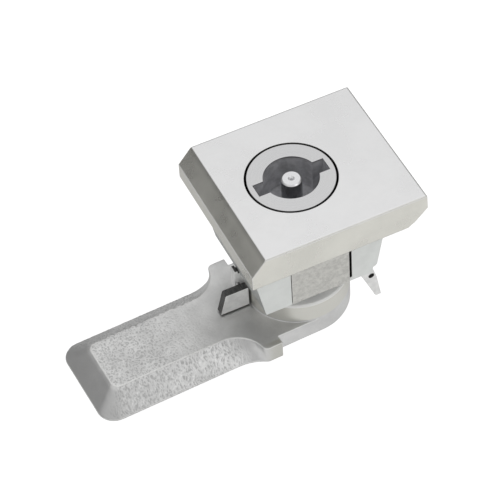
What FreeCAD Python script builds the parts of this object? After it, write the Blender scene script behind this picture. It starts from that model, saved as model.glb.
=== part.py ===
import FreeCAD, Part
import math
import os
import re

import Sketcher

# Quarter-turn cabinet cam lock with a clamp fixing.
# Origin: on the lock's axis, in the plane where the head's underside meets the panel.
# +Z points out of the panel, +X to the pull lip of the head, -X along the closed cam.

# Driving dimensions, in millimetres and degrees
SIZES = [
    ("head_side", 40.0, "side of the head's square base"),
    ("head_height", 8.7, "height of the head over the panel"),
    ("bevel_run", 3.7, "width of the bevel opposite the pull lip"),
    ("bevel_drop", 4.4, "height of that bevel"),
    ("lip_overhang", 5.0, "reach of the pull lip past the base"),
    ("lip_nose", 0.2, "how far the lip's nose leans out under its top edge"),
    ("lip_nose_height", 4.4, "height of the lip's nose over the panel"),
    ("lip_root", 2.0, "reach of the lip's underside past the base"),
    ("lip_root_height", 1.3, "height of the lip's underside over the panel"),
    ("edge_break", 0.35, "chamfer on the head's top edges"),
    ("neck_side", 28.0, "side of the square neck that fills the cut-out"),
    ("neck_corner", 1.5, "rounding of the neck's upright corners"),
    ("neck_depth", 5.0, "depth of the neck below the panel's face"),
    ("core_width", 15.1, "width of the core between the clamp's arms"),
    ("body_depth", 18.4, "depth of the core below the panel's face"),
    ("gasket_width", 3.0, "width of the gasket's ring round the neck"),
    ("gasket_height", 1.2, "depth of the gasket's rebate"),
    ("gasket_play", 0.05, "play of the gasket in its rebate"),
    ("plug_diameter", 21.0, "outside diameter of the key insert"),
    ("plug_gap", 0.5, "gap round the key insert"),
    ("plug_depth", 2.2, "depth of the key insert's shoulder below the panel"),
    ("plug_lift", 0.1, "gap under the key insert's shoulder"),
    ("socket_diameter", 13.2, "diameter of the key socket"),
    ("socket_depth", 9.2, "depth of the key socket"),
    ("bit_reach", 18.2, "length over the two bit slots"),
    ("bit_width", 3.8, "width of a bit slot"),
    ("pin_diameter", 5.0, "diameter of the key pin"),
    ("pin_recess", 0.3, "depth of the pin's end below the insert's face"),
    ("pin_seat", 1.5, "depth of the pin's stub in the socket's floor"),
    ("pin_stub", 4.0, "diameter of the pin's stub"),
    ("pin_chamfer", 0.4, "chamfer on the pin's end"),
    ("pin_dimple", 1.5, "diameter of the centre mark on the pin's end"),
    ("journal_diameter", 12.0, "diameter of the spindle's journal"),
    ("journal_play", 0.04, "radial running clearance of the journal"),
    ("seal_depth", 9.0, "depth of the seal groove's upper wall"),
    ("seal_width", 2.2, "width of the seal groove"),
    ("seal_cut", 1.6, "depth of the seal groove"),
    ("seal_play", 0.03, "play of the seal ring in its groove"),
    ("stop_inner", 7.0, "inner radius of the stop lug"),
    ("stop_outer", 9.8, "outer radius of the stop lug"),
    ("stop_height", 1.4, "height of the stop lug"),
    ("stop_angle", 30.0, "angle that the stop lug spans"),
    ("stop_play", 0.25, "play round the stop lug"),
    ("stop_slack", 0.5, "angle of slack at each end of the turn"),
    ("turn_angle", 90.0, "turn from closed to open"),
    ("clamp_play", 0.62, "slit between the core and the clamp's arm on the lip's side"),
    ("clamp_seam", 0.15, "seam between the core and the clamp's arm on the cam's side"),
    ("clamp_back_play", 0.1, "play of the clamp behind the core"),
    ("clamp_foot", 14.5, "half width of the clamp at its lower end"),
    ("clamp_taper", 10.5, "lean of the clamp's outer faces"),
    ("clamp_lip", 1.2, "height of the lip that closes the slit"),
    ("clamp_drop", 0.3, "gap between the neck and the clamp's arms"),
    ("clamp_side_play", 0.2, "gap between the neck and the clamp's grips"),
    ("panel_room", 2.5, "room for the panel between head and clamp"),
    ("bridge_width", 24.0, "width of the clamp's bridge"),
    ("bridge_depth", 3.2, "thickness of the clamp's bridge"),
    ("notch_height", 2.3, "height of the notch in the clamp's outer corner"),
    ("notch_cut", 0.9, "depth of the notch in the clamp's outer corner"),
    ("plate_thickness", 1.5, "thickness of the retaining plate"),
    ("plate_inset", 1.3, "how far the plate stays behind the core's faces"),
    ("plate_left", 13.4, "reach of the plate to the cam's side"),
    ("plate_right", 14.2, "reach of the plate to the lip's side"),
    ("plate_bore_play", 0.4, "radial play of the spindle in the plate"),
    ("foot_thickness", 2.2, "thickness of a foot"),
    ("foot_length", 9.9, "reach of the feet below the core"),
    ("foot_width", 6.0, "width of the single foot at its shoulder"),
    ("foot_shoulder", 3.8, "depth of the single foot's shoulder below the core"),
    ("foot_splay", 1.6, "how much wider the single foot is at its end"),
    ("foot_front", 1.5, "reach of the single foot in front of the axis"),
    ("foot_stem", 2.4, "width of the single foot's stem"),
    ("ear_height", 5.8, "height of the ear over the plate"),
    ("ear_gap", 0.35, "gap between the ear and the clamp"),
    ("ear_reach", 17.8, "distance of the ear's outer edge from the axis"),
    ("ear_cut", 1.0, "bevel of the ear's upper outer corner"),
    ("ear_hole", 1.3, "diameter of the relief hole under the ear"),
    ("ear_hole_reach", 16.1, "distance of the relief hole from the axis"),
    ("ear_hole_drop", 1.0, "depth of the relief hole's centre below the core"),
    ("toe_front", 13.0, "distance of the two toes' outer faces from the axis"),
    ("toe_root", 3.0, "width of a toe at the plate"),
    ("toe_end", 1.5, "width of a toe at its end"),
    ("toe_splay", 2.2, "how far a toe leans out at its end"),
    ("toe_length", 10.6, "reach of the front toe below the core"),
    ("toe_hole", 1.5, "diameter of the relief hole in a toe"),
    ("toe_hole_inset", 0.4, "distance of that hole's centre inside the plate's end"),
    ("toe_hole_drop", 2.6, "depth of that hole's centre below the core"),
    ("screw_pitch", 20.0, "distance between the plate's screws"),
    ("screw_diameter", 3.0, "thread of the plate's screws"),
    ("screw_head", 5.6, "head diameter of the plate's screws"),
    ("screw_length", 8.0, "length of the plate's screws"),
    ("screw_play", 0.1, "radial play of the screws in the plate"),
    ("stack_gap", 0.05, "axial play between rings on the spindle"),
    ("thrust_diameter", 18.0, "outside diameter of the thrust washer"),
    ("thrust_thickness", 0.5, "thickness of the thrust washer"),
    ("wave_diameter", 17.0, "outside diameter of the wave washer"),
    ("wave_thickness", 0.4, "thickness of the pressed wave washer"),
    ("ring_play", 0.1, "radial play of washers on their shafts"),
    ("circlip_cut", 0.35, "depth of the retaining ring's groove"),
    ("circlip_width", 2.2, "radial width of the retaining ring"),
    ("circlip_thickness", 0.8, "thickness of the retaining ring"),
    ("circlip_angle", 300.0, "angle that the retaining ring spans"),
    ("hub_drop", 4.2, "gap between the core and the cam's hub"),
    ("hub_height", 6.1, "height of the hub over the cam's top"),
    ("hub_radius", 13.0, "radius of the hub"),
    ("square_side", 8.0, "side of the spindle's square"),
    ("square_play", 0.05, "play of the cam on the square, each side"),
    ("square_short", 0.3, "how much the square ends before the cam's underside"),
    ("cam_thickness", 5.1, "thickness of the cam"),
    ("cam_reach", 58.3, "reach of the cam from the axis"),
    ("cam_lean", 2.1, "turn of the closed cam about the axis"),
    ("cam_half", 13.0, "half width of the arm at its base"),
    ("cam_top_half", 7.35, "half width of the arm's flat top"),
    ("cam_end_slope", 5.4, "length of the slope at the arm's end"),
    ("cam_edge", 0.5, "height of the upright edge at the arm's base"),
    ("cam_corner", 4.5, "corner radius of the arm's end at its base"),
    ("cam_top_corner", 2.0, "corner radius of the arm's end at its top"),
    ("lug_half", 15.2, "half width over the cam's shoulders"),
    ("lug_near", 12.0, "start of the shoulders from the axis"),
    ("lug_far", 15.5, "end of the shoulders from the axis"),
    ("lug_corner", 1.5, "corner radius of the shoulders"),
    ("cam_hollow", 12.0, "radius of the hollow beside the shoulders, at its base"),
    ("cam_top_hollow", 7.85, "radius of the hollow beside the shoulders, at its top"),
    ("bolt_diameter", 6.0, "thread of the cam's screw"),
    ("bolt_play", 0.02, "radial play of the cam's screw in its thread"),
    ("bolt_engagement", 9.0, "length of the cam's screw in the spindle"),
    ("bolt_flats", 10.0, "width across flats of the cam's screw"),
    ("bolt_head", 4.0, "head height of the cam's screw"),
    ("bolt_head_chamfer", 0.6, "chamfer of the cam screw's head"),
    ("cup_diameter", 18.0, "outside diameter of the cam's washer"),
    ("cup_thickness", 1.6, "thickness of the cam's washer"),
    ("spring_diameter", 11.8, "outside diameter of the spring washer"),
    ("spring_thickness", 1.6, "thickness of the spring washer"),
    ("spring_angle", 345.0, "angle that the spring washer spans"),
]

doc = FreeCAD.newDocument("cabinet_cam_lock")
sheet = doc.addObject("Spreadsheet::Sheet", "Size")
for row, (name, value, meaning) in enumerate(SIZES, start=1):
    sheet.set("A%d" % row, meaning)
    sheet.set("B%d" % row, str(value))
    sheet.setAlias("B%d" % row, name)
doc.recompute()
NAMES = {name for name, value, meaning in SIZES}

# Sizes that several pieces share, each worked out from the sheet
HEAD_HALF = "head_side / 2"
NECK_HALF = "neck_side / 2"
CORE_HALF = "core_width / 2"
PLUG_BORE = "(plug_diameter / 2 + plug_gap)"
PLUG_FLOOR = "(plug_depth + plug_lift)"
JOURNAL = "journal_diameter / 2"
JOURNAL_BORE = "(journal_diameter / 2 + journal_play)"
SOCKET_FLOOR = "(head_height - socket_depth)"
PLATE_END = "(body_depth + plate_thickness)"
THRUST_TOP = "(body_depth + plate_thickness + stack_gap)"
WAVE_TOP = "(%s + thrust_thickness + stack_gap)" % THRUST_TOP
CIRCLIP_TOP = "(%s + wave_thickness + stack_gap)" % WAVE_TOP
FOOT_END = "(body_depth + foot_length)"
FOOT_SHOULDER = "(body_depth + foot_shoulder)"
HUB_TOP = "(body_depth + hub_drop)"
CAM_TOP = "(body_depth + hub_drop + hub_height)"
CAM_END = "(body_depth + hub_drop + hub_height + cam_thickness)"
BOLT_SEAT = "(%s + cup_thickness + spring_thickness)" % CAM_END
CLAMP_LEAN = "tan(clamp_taper * 1deg)"


def bound(text):
    """Write an expression of size names as an expression on the sheet."""
    def swap(match):
        word = match.group(0)
        return "Size." + word if word in NAMES else word
    return re.sub(r"[a-z]+(?:_[a-z]+)*", swap, str(text))


def number(text):
    """Value of an expression of size names."""
    return float(sheet.evalExpression(bound(text)))


def new_body(label):
    piece = doc.addObject("PartDesign::Body", label)
    piece.Label = label
    return piece


def new_sketch(body, name, role, offset="0", turn="0"):
    """Sketch on an origin plane, moved along its normal and turned about the lock's axis."""
    sketch = body.newObject("Sketcher::SketchObject", body.Name + "_" + name)
    plane = [item for item in body.Origin.OriginFeatures if item.Role == role][0]
    sketch.AttachmentSupport = (plane, [""])
    sketch.MapMode = "FlatFace"
    axis = FreeCAD.Vector(0, 0, 1) if role == "XY_Plane" else FreeCAD.Vector(0, 1, 0)
    base = FreeCAD.Vector(0, 0, number(offset))
    sketch.AttachmentOffset = FreeCAD.Placement(base, FreeCAD.Rotation(axis, number(turn)))
    sketch.setExpression("AttachmentOffset.Base.z", bound("(%s) * 1mm" % offset))
    if turn != "0":
        sketch.setExpression("AttachmentOffset.Rotation.Angle", bound("(%s) * 1deg" % turn))
    return sketch


def place_point(sketch, element, spot, corner):
    """Tie a point of the sketch to two expressions."""
    for kind, text in zip(("DistanceX", "DistanceY"), corner):
        index = sketch.addConstraint(Sketcher.Constraint(kind, -1, 1, element, spot, number(text)))
        sketch.setExpression("Constraints[%d]" % index, bound(text))


def draw_arc(sketch, start, end, radius, turn):
    """Arc of at most a quarter turn or so, anticlockwise for turn 1 and clockwise for -1."""
    first, last = (start, end) if turn > 0 else (end, start)
    reach = last - first
    middle = (first + last) * 0.5
    height = math.sqrt(max(radius ** 2 - (reach.Length / 2) ** 2, 0))
    normal = FreeCAD.Vector(-reach.y, reach.x, 0).normalize()
    centre = middle + normal * height
    begin, finish = first - centre, last - centre
    circle = Part.Circle(centre, FreeCAD.Vector(0, 0, 1), radius)
    angles = math.atan2(begin.y, begin.x), math.atan2(finish.y, finish.x)
    return sketch.addGeometry(Part.ArcOfCircle(circle, *angles))


def outline(sketch, corners):
    """Closed outline. A corner is (x, y), or (x, y, radius, turn) where an arc leaves it."""
    points = [FreeCAD.Vector(number(item[0]), number(item[1]), 0) for item in corners]
    ends = []
    for place, corner in enumerate(corners):
        start, end = points[place], points[(place + 1) % len(points)]
        if len(corner) == 2:
            element = sketch.addGeometry(Part.LineSegment(start, end))
            ends.append((element, 1, 2))
        else:
            radius, turn = corner[2:]
            element = draw_arc(sketch, start, end, number(radius), turn)
            ends.append((element, 1, 2) if turn > 0 else (element, 2, 1))
            index = sketch.addConstraint(Sketcher.Constraint("Radius", element, number(radius)))
            sketch.setExpression("Constraints[%d]" % index, bound(radius))
    for place, (element, first, last) in enumerate(ends):
        following = ends[(place + 1) % len(ends)]
        sketch.addConstraint(Sketcher.Constraint("Coincident", element, last, following[0], following[1]))
        place_point(sketch, element, first, corners[place][:2])
    return sketch


def block(sketch, left, low, right, high):
    return outline(sketch, [(left, low), (right, low), (right, high), (left, high)])


def circle(sketch, radius, x="0", y="0"):
    centre = FreeCAD.Vector(number(x), number(y), 0)
    element = sketch.addGeometry(Part.Circle(centre, FreeCAD.Vector(0, 0, 1), number(radius)))
    place_point(sketch, element, 3, (x, y))
    index = sketch.addConstraint(Sketcher.Constraint("Radius", element, number(radius)))
    sketch.setExpression("Constraints[%d]" % index, bound(radius))
    return sketch


def extrude(kind, body, name, sketch, length, away=False, centred=False):
    """Pad or pocket. A pad follows the sketch's normal and a pocket runs against it."""
    feature = body.newObject("PartDesign::" + kind, body.Name + "_" + name)
    feature.Profile = sketch
    feature.Reversed = away
    feature.Midplane = centred
    feature.setExpression("Length", bound(length))
    sketch.Visibility = False
    doc.recompute()
    return feature


def turned(kind, body, name, sketch, angle="360"):
    """Revolution or groove about the lock's axis, half to each side of the sketch."""
    feature = body.newObject("PartDesign::" + kind, body.Name + "_" + name)
    feature.Profile = sketch
    feature.ReferenceAxis = (sketch, ["V_Axis"])
    feature.Midplane = True
    feature.setExpression("Angle", bound("(%s) * 1deg" % angle))
    doc.recompute()
    return feature


def edges_where(feature, test):
    """Names of the feature's edges whose end points all pass the test."""
    names = []
    for index, edge in enumerate(feature.Shape.Edges, start=1):
        if all(test(vertex.Point) for vertex in edge.Vertexes):
            names.append("Edge%d" % index)
    return names


def finish_edges(kind, body, name, base, names, size):
    feature = body.newObject("PartDesign::" + kind, body.Name + "_" + name)
    feature.Base = (base, names)
    feature.setExpression("Radius" if kind == "Fillet" else "Size", bound(size))
    doc.recompute()
    return feature


def near(value, text):
    return abs(value - number(text)) < 0.001


def make_ring(label, outer, inner, thickness, top):
    """Flat ring about the axis, with its upper face at depth top."""
    parts = []
    for name, radius in (("outer", outer), ("inner", inner)):
        cylinder = doc.addObject("Part::Cylinder", label + "_" + name)
        cylinder.setExpression("Radius", bound(radius))
        cylinder.setExpression("Height", bound(thickness))
        cylinder.setExpression("Placement.Base.z", bound("-(%s + %s) * 1mm" % (top, thickness)))
        parts.append(cylinder)
    ring = doc.addObject("Part::Cut", label)
    ring.Base, ring.Tool = parts
    ring.Label = label
    return ring


# Housing: head with bevel and pull lip, neck and core
def make_housing():
    body = new_body("housing")
    profile = outline(new_sketch(body, "head_profile", "XZ_Plane"), [
        ("-" + HEAD_HALF, "0"),
        (HEAD_HALF, "0"),
        (HEAD_HALF + " + lip_root", "lip_root_height"),
        (HEAD_HALF + " + lip_overhang + lip_nose", "lip_nose_height"),
        (HEAD_HALF + " + lip_overhang", "head_height"),
        ("bevel_run - " + HEAD_HALF, "head_height"),
        ("-" + HEAD_HALF, "head_height - bevel_drop"),
    ])
    head = extrude("Pad", body, "head", profile, "head_side", centred=True)
    top_edges = edges_where(head, lambda point: near(point.z, "head_height"))
    bevel_edge = edges_where(head, lambda point: near(point.x, "bevel_run - " + HEAD_HALF))
    broken = [name for name in top_edges if name not in bevel_edge]
    finish_edges("Chamfer", body, "edge_break", head, broken, "edge_break")

    neck = block(new_sketch(body, "neck_outline", "XY_Plane"),
                 "-" + NECK_HALF, "-" + NECK_HALF, NECK_HALF, NECK_HALF)
    neck_pad = extrude("Pad", body, "neck", neck, "neck_depth", away=True)
    corners = edges_where(neck_pad, lambda point: -number("neck_depth") - 0.001 < point.z < 0.001
                          and near(abs(point.x), NECK_HALF) and near(abs(point.y), NECK_HALF))
    upright = [name for name in corners if neck_pad.Shape.getElement(name).BoundBox.ZLength > 0.001]
    finish_edges("Fillet", body, "neck_corners", neck_pad, upright, "neck_corner")

    core = block(new_sketch(body, "core_outline", "XY_Plane", "-neck_depth"),
                 "-" + CORE_HALF, "-" + NECK_HALF, CORE_HALF, NECK_HALF)
    extrude("Pad", body, "core", core, "body_depth - neck_depth", away=True)

    rebate = new_sketch(body, "rebate_outline", "XY_Plane")
    rebate_half = NECK_HALF + " + gasket_width"
    block(rebate, "-(%s)" % rebate_half, "-(%s)" % rebate_half, rebate_half, rebate_half)
    block(rebate, "-" + NECK_HALF, "-" + NECK_HALF, NECK_HALF, NECK_HALF)
    extrude("Pocket", body, "gasket_rebate", rebate, "gasket_height", away=True)

    plug = circle(new_sketch(body, "plug_circle", "XY_Plane", "head_height"), PLUG_BORE)
    extrude("Pocket", body, "plug_bore", plug, "head_height + " + PLUG_FLOOR)
    journal = circle(new_sketch(body, "journal_circle", "XY_Plane", "-" + PLUG_FLOOR), JOURNAL_BORE)
    extrude("Pocket", body, "journal_bore", journal, "body_depth - " + PLUG_FLOOR)

    track_turn = "-turn_angle / 2"
    track = block(new_sketch(body, "stop_track_section", "XZ_Plane", turn=track_turn),
                  "-(stop_outer + stop_play)", "-(plug_depth + stop_height + stop_play)",
                  "-(stop_inner - stop_play)", "-" + PLUG_FLOOR)
    turned("Groove", body, "stop_track", track, "turn_angle + stop_angle + 2 * stop_slack")

    holes = new_sketch(body, "screw_circles", "XY_Plane", "-body_depth")
    for side in ("", "-"):
        circle(holes, "screw_diameter / 2", "0", side + "screw_pitch / 2")
    extrude("Pocket", body, "screw_holes", holes, "screw_length - plate_thickness", away=True)
    return body


# Gasket: square ring in the rebate under the head
def make_gasket():
    frames = []
    for name, margin in (("outer", "gasket_width - gasket_play"), ("inner", "gasket_play")):
        half = "(%s + %s)" % (NECK_HALF, margin)
        box = doc.addObject("Part::Box", "gasket_" + name)
        box.setExpression("Length", bound("2 * " + half))
        box.setExpression("Width", bound("2 * " + half))
        box.setExpression("Height", bound("gasket_height - 2 * gasket_play"))
        box.setExpression("Placement.Base.x", bound("-%s * 1mm" % half))
        box.setExpression("Placement.Base.y", bound("-%s * 1mm" % half))
        box.setExpression("Placement.Base.z", bound("gasket_play * 1mm"))
        frames.append(box)
    gasket = doc.addObject("Part::Cut", "panel_gasket")
    gasket.Base, gasket.Tool = frames
    gasket.Label = "panel_gasket"
    return gasket


# Mounting clamp: two arms and a bridge that slide on to the core from behind
def make_clamp():
    body = new_body("mounting_clamp")
    arm_top = "-(neck_depth + clamp_drop)"
    grip_inner = "(%s + clamp_side_play)" % NECK_HALF
    grip_outer = "(clamp_foot + (body_depth - panel_room) * %s)" % CLAMP_LEAN
    notch_outer = "(clamp_foot + notch_height * %s)" % CLAMP_LEAN
    bridge_start = "(%s + clamp_back_play)" % NECK_HALF
    bridge = block(new_sketch(body, "bridge_outline", "XY_Plane", "-body_depth"),
                   "-bridge_width / 2", bridge_start, "bridge_width / 2", bridge_start + " + bridge_depth")
    extrude("Pad", body, "bridge", bridge, "body_depth - neck_depth - clamp_drop")

    seam = "(%s + clamp_seam)" % CORE_HALF
    left = outline(new_sketch(body, "left_arm_profile", "XZ_Plane", NECK_HALF), [
        ("-" + seam, arm_top),
        ("-" + grip_inner, arm_top),
        ("-" + grip_inner, "-panel_room"),
        ("-" + grip_outer, "-panel_room"),
        ("-clamp_foot", "-body_depth"),
        ("-" + seam, "-body_depth"),
    ])
    arm_length = "%s + %s" % (NECK_HALF, bridge_start)
    extrude("Pad", body, "left_arm", left, arm_length, away=True)

    slit = "(%s + clamp_play)" % CORE_HALF
    right = outline(new_sketch(body, "right_arm_profile", "XZ_Plane", NECK_HALF), [
        (slit, arm_top),
        (grip_inner, arm_top),
        (grip_inner, "-panel_room"),
        (grip_outer, "-panel_room"),
        (notch_outer, "notch_height - body_depth"),
        (notch_outer + " - notch_cut / 2", "notch_height - notch_cut / 2 - body_depth"),
        ("clamp_foot - notch_cut * 0.7", "notch_height - notch_cut * 0.7 - body_depth"),
        ("clamp_foot - notch_cut", "-body_depth"),
        (CORE_HALF, "-body_depth"),
        (CORE_HALF, "clamp_lip - body_depth"),
        (slit, "clamp_lip - body_depth"),
    ])
    extrude("Pad", body, "right_arm", right, arm_length, away=True)
    return body


# Retaining plate: screwed under the core, with one wide foot, two toes and an ear
def make_retaining_plate():
    body = new_body("retaining_plate")
    plate_half = "(%s - plate_inset)" % NECK_HALF
    sheet_sketch = block(new_sketch(body, "plate_outline", "XY_Plane", "-body_depth"),
                         "-plate_left", "-" + plate_half, "plate_right", plate_half)
    extrude("Pad", body, "plate", sheet_sketch, "plate_thickness", away=True)

    ear_base = "(clamp_foot + ear_gap)"
    ear_tip = "(clamp_foot + ear_gap + ear_height * %s)" % CLAMP_LEAN
    foot = outline(new_sketch(body, "foot_profile", "XZ_Plane", "foot_front"), [
        ("-plate_left", "-" + PLATE_END),
        ("-plate_left", "-" + FOOT_END),
        ("-(plate_left + foot_width + foot_splay)", "-" + FOOT_END),
        ("-(plate_left + foot_width)", "-" + FOOT_SHOULDER),
        ("-ear_reach", "-" + FOOT_SHOULDER),
        ("-ear_reach", "ear_height - ear_cut - body_depth"),
        ("-(ear_reach - ear_cut)", "ear_height - body_depth"),
        ("-" + ear_tip, "ear_height - body_depth"),
        ("-" + ear_base, "-body_depth"),
        ("-plate_left + foot_stem", "-body_depth"),
        ("-plate_left + foot_stem", "-" + PLATE_END),
    ])
    extrude("Pad", body, "foot", foot, "foot_thickness", away=True)
    relief = circle(new_sketch(body, "relief_circle", "XZ_Plane", "foot_front"), "ear_hole / 2",
                    "-ear_hole_reach", "-(body_depth + ear_hole_drop)")
    extrude("Pocket", body, "relief_hole", relief, "foot_thickness")

    for name, side, end in (("front_toe", 1, "(body_depth + toe_length)"), ("back_toe", -1, FOOT_END)):
        face = "toe_front" if side > 0 else "-toe_front"
        toe = outline(new_sketch(body, name + "_profile", "XZ_Plane", face), [
            ("plate_right", "-body_depth"),
            ("plate_right - toe_root", "-body_depth"),
            ("plate_right - toe_root", "-" + PLATE_END),
            ("plate_right + toe_splay - toe_end", "-" + end),
            ("plate_right + toe_splay", "-" + end),
            ("plate_right + toe_splay / 2", "-" + FOOT_SHOULDER),
        ])
        extrude("Pad", body, name, toe, "foot_thickness", away=side > 0)
        relief = circle(new_sketch(body, name + "_relief_circle", "XZ_Plane", face), "toe_hole / 2",
                        "plate_right - toe_hole_inset", "-(body_depth + toe_hole_drop)")
        extrude("Pocket", body, name + "_relief_hole", relief, "foot_thickness", away=side < 0)

    bore = circle(new_sketch(body, "bore_circle", "XY_Plane", "-body_depth"), JOURNAL + " + plate_bore_play")
    extrude("Pocket", body, "bore", bore, "plate_thickness")
    for name, side in (("front", "-"), ("back", "")):
        hole = circle(new_sketch(body, name + "_hole_circle", "XY_Plane", "-body_depth"),
                      "screw_diameter / 2 + screw_play", "0", side + "screw_pitch / 2")
        extrude("Pocket", body, name + "_hole", hole, "plate_thickness")
    for name, side in (("front", "-"), ("back", "")):
        sink = body.newObject("PartDesign::SubtractiveCone", "retaining_plate_%s_sink" % name)
        sink.setExpression("Radius1", bound("screw_head / 2 + screw_play"))
        sink.setExpression("Radius2", bound("screw_diameter / 2 + screw_play"))
        sink.setExpression("Height", bound("plate_thickness"))
        sink.setExpression("Placement.Base.y", bound(side + "screw_pitch / 2 * 1mm"))
        sink.setExpression("Placement.Base.z", bound("-%s * 1mm" % PLATE_END))
        doc.recompute()
    return body


# Plate screws: two countersunk screws, one node
def make_plate_screws():
    screws = []
    for name, side in (("front", "-"), ("back", "")):
        head = doc.addObject("Part::Cone", name + "_screw_head")
        head.setExpression("Radius1", bound("screw_head / 2"))
        head.setExpression("Radius2", bound("screw_diameter / 2"))
        head.setExpression("Height", bound("plate_thickness"))
        head.setExpression("Placement.Base.z", bound("-%s * 1mm" % PLATE_END))
        shank = doc.addObject("Part::Cylinder", name + "_screw_shank")
        shank.setExpression("Radius", bound("screw_diameter / 2"))
        shank.setExpression("Height", bound("screw_length"))
        shank.setExpression("Placement.Base.z", bound("-%s * 1mm" % PLATE_END))
        for item in (head, shank):
            item.setExpression("Placement.Base.y", bound(side + "screw_pitch / 2 * 1mm"))
        screw = doc.addObject("Part::Fuse", name + "_screw")
        screw.Base, screw.Tool = head, shank
        screws.append(screw)
    pair = doc.addObject("Part::Compound", "plate_screws")
    pair.Links = screws
    pair.Label = "plate_screws"
    return pair


# Key insert: flush disc with the key socket, journal, ring grooves and square, in one piece
def make_key_insert():
    body = new_body("key_insert")
    seal_root = "(%s - seal_cut)" % JOURNAL
    seal_end = "(seal_depth + seal_width)"
    circlip_root = "(%s - circlip_cut)" % JOURNAL
    circlip_end = "(%s + circlip_thickness + 2 * stack_gap)" % CIRCLIP_TOP
    shaft = outline(new_sketch(body, "shaft_profile", "XZ_Plane"), [
        ("0", "-" + HUB_TOP),
        (JOURNAL, "-" + HUB_TOP),
        (JOURNAL, "-" + circlip_end),
        (circlip_root, "-" + circlip_end),
        (circlip_root, "-" + CIRCLIP_TOP),
        (JOURNAL, "-" + CIRCLIP_TOP),
        (JOURNAL, "-" + seal_end),
        (seal_root, "-" + seal_end),
        (seal_root, "-seal_depth"),
        (JOURNAL, "-seal_depth"),
        (JOURNAL, "-plug_depth"),
        ("plug_diameter / 2", "-plug_depth"),
        ("plug_diameter / 2", "head_height"),
        ("socket_diameter / 2", "head_height"),
        ("socket_diameter / 2", SOCKET_FLOOR),
        ("pin_stub / 2", SOCKET_FLOOR),
        ("pin_stub / 2", SOCKET_FLOOR + " - pin_seat"),
        ("0", SOCKET_FLOOR + " - pin_seat"),
    ])
    turned("Revolution", body, "shaft", shaft)
    square_half = "square_side / 2"
    square = block(new_sketch(body, "square_outline", "XY_Plane", "-" + HUB_TOP, "cam_lean"),
                   "-" + square_half, "-" + square_half, square_half, square_half)
    extrude("Pad", body, "square", square, "hub_height + cam_thickness - square_short", away=True)
    slots = block(new_sketch(body, "bit_outline", "XY_Plane", "head_height"),
                  "-bit_reach / 2", "-bit_width / 2", "bit_reach / 2", "bit_width / 2")
    extrude("Pocket", body, "bit_slots", slots, "socket_depth")
    thread = circle(new_sketch(body, "thread_circle", "XY_Plane", "-" + CAM_END),
                    "bolt_diameter / 2 + bolt_play")
    extrude("Pocket", body, "thread", thread, "bolt_engagement + 1", away=True)
    lug = block(new_sketch(body, "stop_lug_section", "XZ_Plane"),
                "-stop_outer", "-(plug_depth + stop_height)", "-stop_inner", "-plug_depth")
    turned("Revolution", body, "stop_lug", lug, "stop_angle")
    return body


# Key pin: its stub is pressed into the socket's floor
def make_key_pin():
    body = new_body("key_pin")
    top = "(head_height - pin_recess)"
    profile = outline(new_sketch(body, "pin_profile", "XZ_Plane"), [
        ("0", SOCKET_FLOOR + " - pin_seat"),
        ("pin_stub / 2", SOCKET_FLOOR + " - pin_seat"),
        ("pin_stub / 2", SOCKET_FLOOR),
        ("pin_diameter / 2", SOCKET_FLOOR),
        ("pin_diameter / 2", top + " - pin_chamfer"),
        ("pin_diameter / 2 - pin_chamfer", top),
        ("pin_dimple / 2", top),
        ("0", top + " - pin_dimple / 2"),
    ])
    turned("Revolution", body, "pin", profile)
    return body


# Spindle seal: round rubber ring in the journal's groove
def make_spindle_seal():
    seal = doc.addObject("Part::Torus", "spindle_seal")
    section = "((seal_cut + journal_play) / 2 - seal_play)"
    seal.setExpression("Radius1", bound(JOURNAL_BORE + " - (seal_cut + journal_play) / 2"))
    seal.setExpression("Radius2", bound(section))
    seal.setExpression("Placement.Base.z", bound("-(seal_depth + seal_width / 2) * 1mm"))
    seal.Label = "spindle_seal"
    return seal


# Retaining ring: open ring in the spindle's lower groove
def make_retaining_ring():
    body = new_body("retaining_ring")
    inner = "(%s - circlip_cut + stack_gap)" % JOURNAL
    section = block(new_sketch(body, "section", "XZ_Plane"),
                    inner, "-(%s + stack_gap + circlip_thickness)" % CIRCLIP_TOP,
                    inner + " + circlip_width", "-(%s + stack_gap)" % CIRCLIP_TOP)
    turned("Revolution", body, "ring", section, "circlip_angle")
    return body


def cam_outline(sketch, half, reach, corner, hollow):
    """Arm of the cam at one level: shoulders, a hollow curve to the arm and a rounded end."""
    side = "(%s)" % half
    inner = "(%s - %s)" % (half, corner)
    sum_radius = "(%s + lug_corner)" % hollow
    rise = "(%s + %s - lug_half)" % (half, sum_radius)
    run = "sqrt(%s ^ 2 - %s ^ 2)" % (sum_radius, rise)
    turn_in = "-(lug_far + %s)" % run
    turn_out = "-(lug_far + lug_corner * %s / %s)" % (run, sum_radius)
    lug_side = "(lug_half - lug_corner + lug_corner * %s / %s)" % (rise, sum_radius)
    turn_end = "-(%s - %s)" % (reach, corner)
    return outline(sketch, [
        ("-lug_near", "lug_half"),
        ("-lug_far", "lug_half", "lug_corner", 1),
        (turn_out, lug_side, hollow, -1),
        (turn_in, side),
        (turn_end, side, corner, 1),
        ("-(%s)" % reach, inner),
        ("-(%s)" % reach, "-" + inner, corner, 1),
        (turn_end, "-" + side),
        (turn_in, "-" + side, hollow, -1),
        (turn_out, "-" + lug_side, "lug_corner", 1),
        ("-lug_far", "-lug_half"),
        ("-lug_near", "-lug_half"),
    ])


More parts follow.
